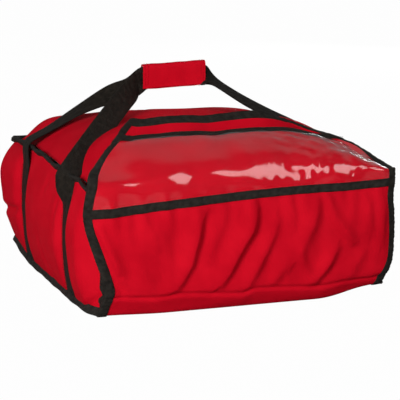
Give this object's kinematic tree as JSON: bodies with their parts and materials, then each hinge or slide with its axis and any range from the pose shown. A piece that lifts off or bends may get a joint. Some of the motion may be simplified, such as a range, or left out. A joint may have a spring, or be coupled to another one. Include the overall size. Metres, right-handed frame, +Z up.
{
  "type": "pizza delivery bag",
  "caption": "Soft insulated carrying bag with a front mouth, a fold-over flap with a clear ticket pocket, and two webbing handles joined by a wrap.",
  "frame": {"origin": "centre of the bag's footprint, on the surface that it stands on", "axes": "+X along the width, to the right seen from the front; +Y from the mouth to the back; +Z up"},
  "size_m": [0.5446, 0.524, 0.3556],
  "materials": {
    "red_nylon": "satin woven nylon",
    "black_tape": "matt ribbed tape",
    "black_webbing": "matt woven webbing",
    "foam": "matt foam",
    "foil_lining": "bright foil",
    "clear_vinyl": "clear and glossy",
    "hook_and_loop": "matt hook and loop tape"
  },
  "bodies": {
    "bag": {"top_shell": "red_nylon", "top_padding": "foam", "top_lining": "foil_lining", "bottom_shell": "red_nylon", "bottom_padding": "foam", "bottom_lining": "foil_lining", "wall_shell": "red_nylon", "wall_lining": "foil_lining", "end_padding_left": "foam", "back_padding": "foam", "end_padding_right": "foam", "top_seam_binding": "black_tape", "bottom_seam_binding": "black_tape", "mouth_binding": "black_tape", "loop_tape": "hook_and_loop", "front_strap_left": "black_webbing", "front_strap_right": "black_webbing", "back_strap_left": "black_webbing", "back_strap_right": "black_webbing"},
    "flap_front": {"flap_front_shell": "red_nylon", "flap_front_padding": "foam", "flap_front_lining": "foil_lining", "flap_front_binding_left": "black_tape", "flap_front_binding_right": "black_tape", "window_lower_tape": "black_tape", "window_sheet_front": "clear_vinyl"},
    "flap_top": {"flap_top_shell": "red_nylon", "flap_top_padding": "foam", "flap_top_lining": "foil_lining", "flap_top_binding": "black_tape", "window_sheet_top": "clear_vinyl", "window_upper_binding": "black_tape", "hook_tape": "hook_and_loop"},
    "handle": {"front_handle": "black_webbing", "back_handle": "black_webbing", "grip_wrap": "red_nylon", "grip_padding": "foam", "grip_loop_tape": "hook_and_loop"},
    "wrap_leaf": {"grip_leaf": "red_nylon", "grip_hook_tape": "hook_and_loop"}
  },
  "joints": [
    {"name": "flap_front_fold", "type": "hinge", "parent": "bag", "child": "flap_front", "pos_m": [0, -0.254, 0.018], "axis": [1, 0, 0], "range_deg": [0, 80]},
    {"name": "flap_top_fold", "type": "hinge", "parent": "flap_front", "child": "flap_top", "pos_m": [0, -0.254, 0.2169], "axis": [1, 0, 0], "range_deg": [0, 90]},
    {"name": "handle_swing", "type": "hinge", "parent": "bag", "child": "handle", "pos_m": [0, 0, 0.203], "axis": [1, 0, 0], "range_deg": [-4, 82], "deforming": ["front_handle", "back_handle"]},
    {"name": "wrap_leaf_fold", "type": "hinge", "parent": "handle", "child": "wrap_leaf", "pos_m": [0, 0.09772, 0.31171], "axis": [-1, 0, 0], "range_deg": [0, 110]}
  ]
}
